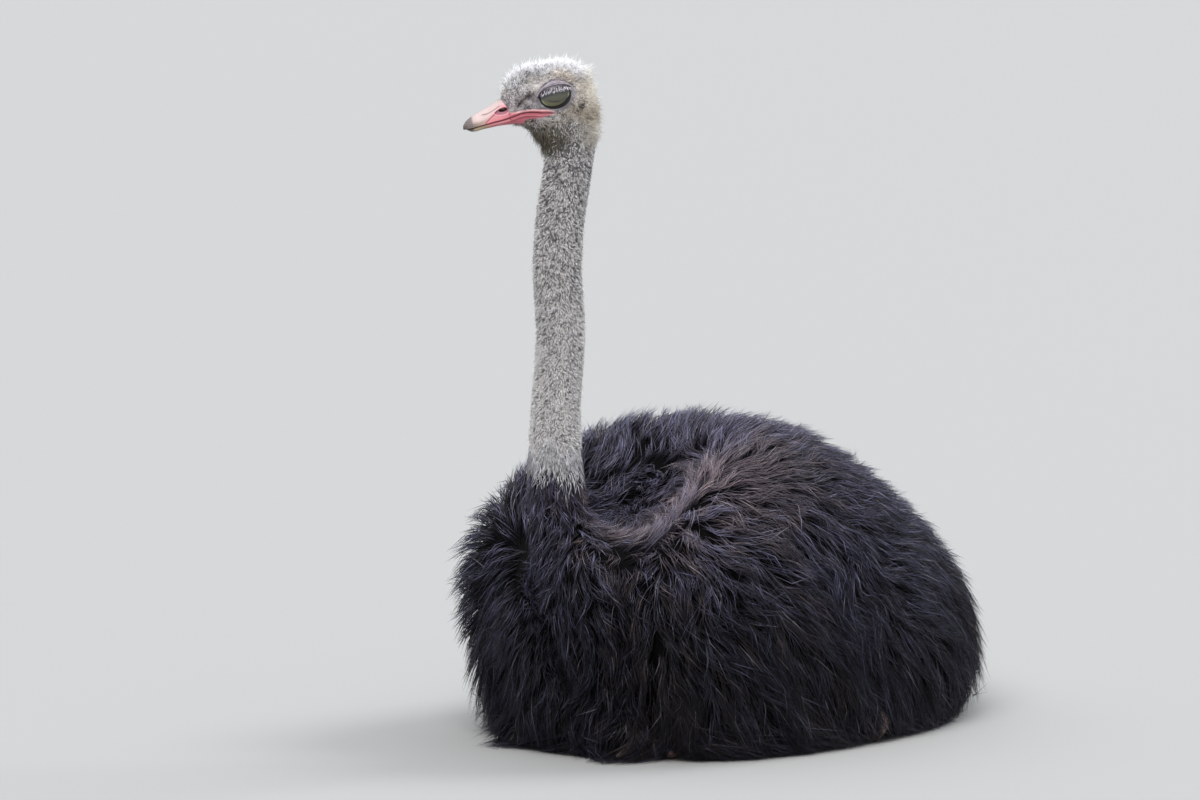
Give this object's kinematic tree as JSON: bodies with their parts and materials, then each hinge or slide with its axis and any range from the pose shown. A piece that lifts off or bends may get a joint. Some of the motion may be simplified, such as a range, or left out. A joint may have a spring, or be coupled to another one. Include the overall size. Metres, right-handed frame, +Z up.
{
  "type": "ostrich",
  "caption": "Life-size male ostrich resting on the ground with its legs folded under it, neck upright and head turned to its right.",
  "frame": {"origin": "centre of the bird's footprint box, on the ground it rests on", "axes": "+Z up; the bird's body faces -Y and its left side is +X"},
  "size_m": [0.636, 0.9636, 1.0095],
  "materials": {
    "plumage": "soft loose black feathers with a faint blue-grey sheen",
    "tail_plumes": "soft whitish and buff plumes",
    "down": "short pale grey down with dark speckles",
    "face": "grey skin with sparse pale fuzz",
    "bill": "smooth pinkish-red horn with a grey-brown nail",
    "eye": "moist dark eye behind closed lids",
    "leg_skin": "scaly pinkish-brown skin",
    "claw": "dull dark horn"
  },
  "bodies": {
    "root": {"trunk": "plumage", "neck_base": "plumage", "wing_left": "plumage", "wing_right": "plumage", "thigh_left": "plumage", "thigh_right": "plumage", "tail": "tail_plumes", "neck_lower": "down", "neck_upper": "down", "head": "face", "bill_upper": "bill", "bill_lower": "bill", "eye_left": "eye", "eye_right": "eye", "shank_left": "leg_skin", "shank_right": "leg_skin", "toe_inner_left": "leg_skin", "toe_inner_right": "leg_skin", "toe_outer_left": "leg_skin", "toe_outer_right": "leg_skin", "claw_left": "claw", "claw_right": "claw"}
  },
  "joints": []
}
